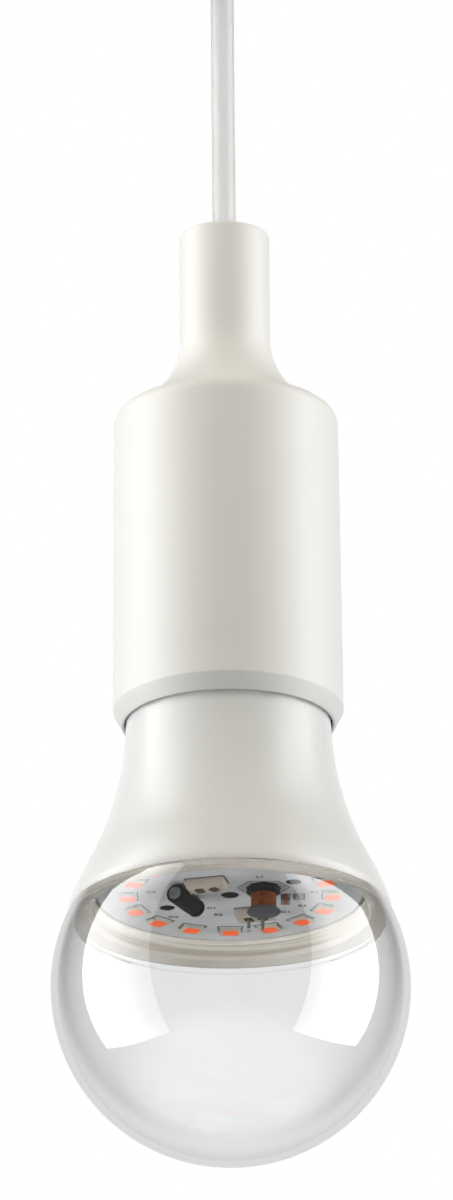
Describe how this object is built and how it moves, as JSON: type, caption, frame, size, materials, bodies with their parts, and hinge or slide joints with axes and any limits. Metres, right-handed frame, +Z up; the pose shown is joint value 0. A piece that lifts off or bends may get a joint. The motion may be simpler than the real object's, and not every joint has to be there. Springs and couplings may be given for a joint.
{
  "type": "led grow light bulb in a pendant lampholder",
  "caption": "Clear globe grow-light bulb with a ring of LEDs, screwed into a smooth white pendant lampholder that hangs on a round cord from a small ceiling rose.",
  "frame": {"origin": "centre of the ceiling rose's back face, where it lies against the ceiling", "axes": "+Z up out of the ceiling face, with the lamp hanging along -Z; -Y is the side that faces the viewer"},
  "size_m": [0.064, 0.064, 0.248],
  "materials": {
    "rose_white": "satin",
    "bush_white": "matte",
    "screw_steel": "satin",
    "block_ivory": "satin",
    "core_brown": "satin",
    "core_blue": "satin",
    "cord_white": "satin",
    "holder_white": "matte",
    "insert_ceramic": "gloss",
    "contact_brass": "satin",
    "cap_nickel": "satin",
    "insulator_black": "gloss",
    "housing_white": "satin",
    "sink_aluminium": "satin",
    "board_white": "satin",
    "led_cream": "satin",
    "ferrite_black": "satin",
    "winding_copper": "gloss",
    "can_black": "satin",
    "chip_brown": "satin",
    "chip_black": "matte",
    "lead_tin": "satin",
    "globe_clear": "clear"
  },
  "bodies": {
    "pendant": {"centre_contact": "contact_brass", "clamp_screw_1": "screw_steel", "clamp_screw_2": "screw_steel", "contact_rivet": "contact_brass", "cord": "cord_white", "cord_grip": "bush_white", "holder_core_live": "core_brown", "holder_core_neutral": "core_blue", "holder_insert": "insert_ceramic", "holder_sleeve": "holder_white", "rose_base": "rose_white", "rose_bush": "bush_white", "rose_clamp_bar": "rose_white", "rose_core_live": "core_brown", "rose_core_neutral": "core_blue", "rose_cover": "rose_white", "rose_terminal_block": "block_ivory", "screw_shell": "contact_brass", "shell_rivet": "contact_brass", "terminal_live": "contact_brass", "terminal_neutral": "contact_brass", "terminal_screw_live": "screw_steel", "terminal_screw_neutral": "screw_steel"},
    "bulb_tip": {"cap_contact": "cap_nickel"},
    "bulb": {"bulb_housing": "housing_white", "cap_insulator": "insulator_black", "cap_shell": "cap_nickel", "capacitor": "can_black", "chip_capacitor": "chip_brown", "driver_chip": "chip_black", "globe": "globe_clear", "heat_sink": "sink_aluminium", "inductor_core": "ferrite_black", "inductor_winding": "winding_copper", "lead_live": "lead_tin", "lead_neutral": "lead_tin", "led_01": "led_cream", "led_02": "led_cream", "led_03": "led_cream", "led_04": "led_cream", "led_05": "led_cream", "led_06": "led_cream", "led_07": "led_cream", "led_08": "led_cream", "led_09": "led_cream", "led_10": "led_cream", "led_11": "led_cream", "led_12": "led_cream", "led_13": "led_cream", "led_14": "led_cream", "led_15": "led_cream", "led_16": "led_cream", "led_board": "board_white", "wire_connector_1": "block_ivory", "wire_connector_2": "block_ivory"}
  },
  "joints": [
    {"name": "bulb_drop", "type": "slide", "parent": "pendant", "child": "bulb_tip", "axis": [0, 0, -1], "range_m": [0, 0.0146]},
    {"name": "bulb_turn", "type": "hinge", "parent": "bulb_tip", "child": "bulb", "pos_m": [0, 0, -0.15], "axis": [0, 0, -1], "range_deg": [0, 1440]}
  ],
  "couplings": [
    {"joint": "bulb_drop", "follows": "bulb_turn", "m_per_rad": 0.00057757}
  ]
}
